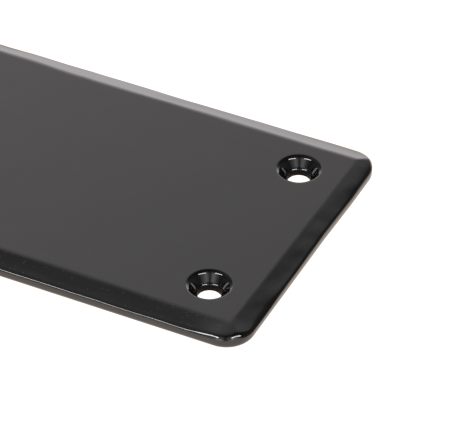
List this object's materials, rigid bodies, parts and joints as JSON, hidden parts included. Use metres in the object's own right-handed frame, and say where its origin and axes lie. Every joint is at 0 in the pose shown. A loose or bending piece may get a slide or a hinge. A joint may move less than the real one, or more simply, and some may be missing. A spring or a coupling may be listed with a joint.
{
  "type": "kick plate",
  "caption": "Long flat gloss black steel door plate with wide bevelled edges, rounded corners and countersunk screw holes at its ends.",
  "frame": {"origin": "centre of the back face, which lies against the door", "axes": "+X along the plate's length, +Y across its width, +Z out of the bevelled front face"},
  "size_m": [0.3, 0.065, 0.0037],
  "materials": {
    "black_coat": "gloss black coating on steel"
  },
  "bodies": {
    "root": {"plate": "black_coat"}
  },
  "joints": []
}
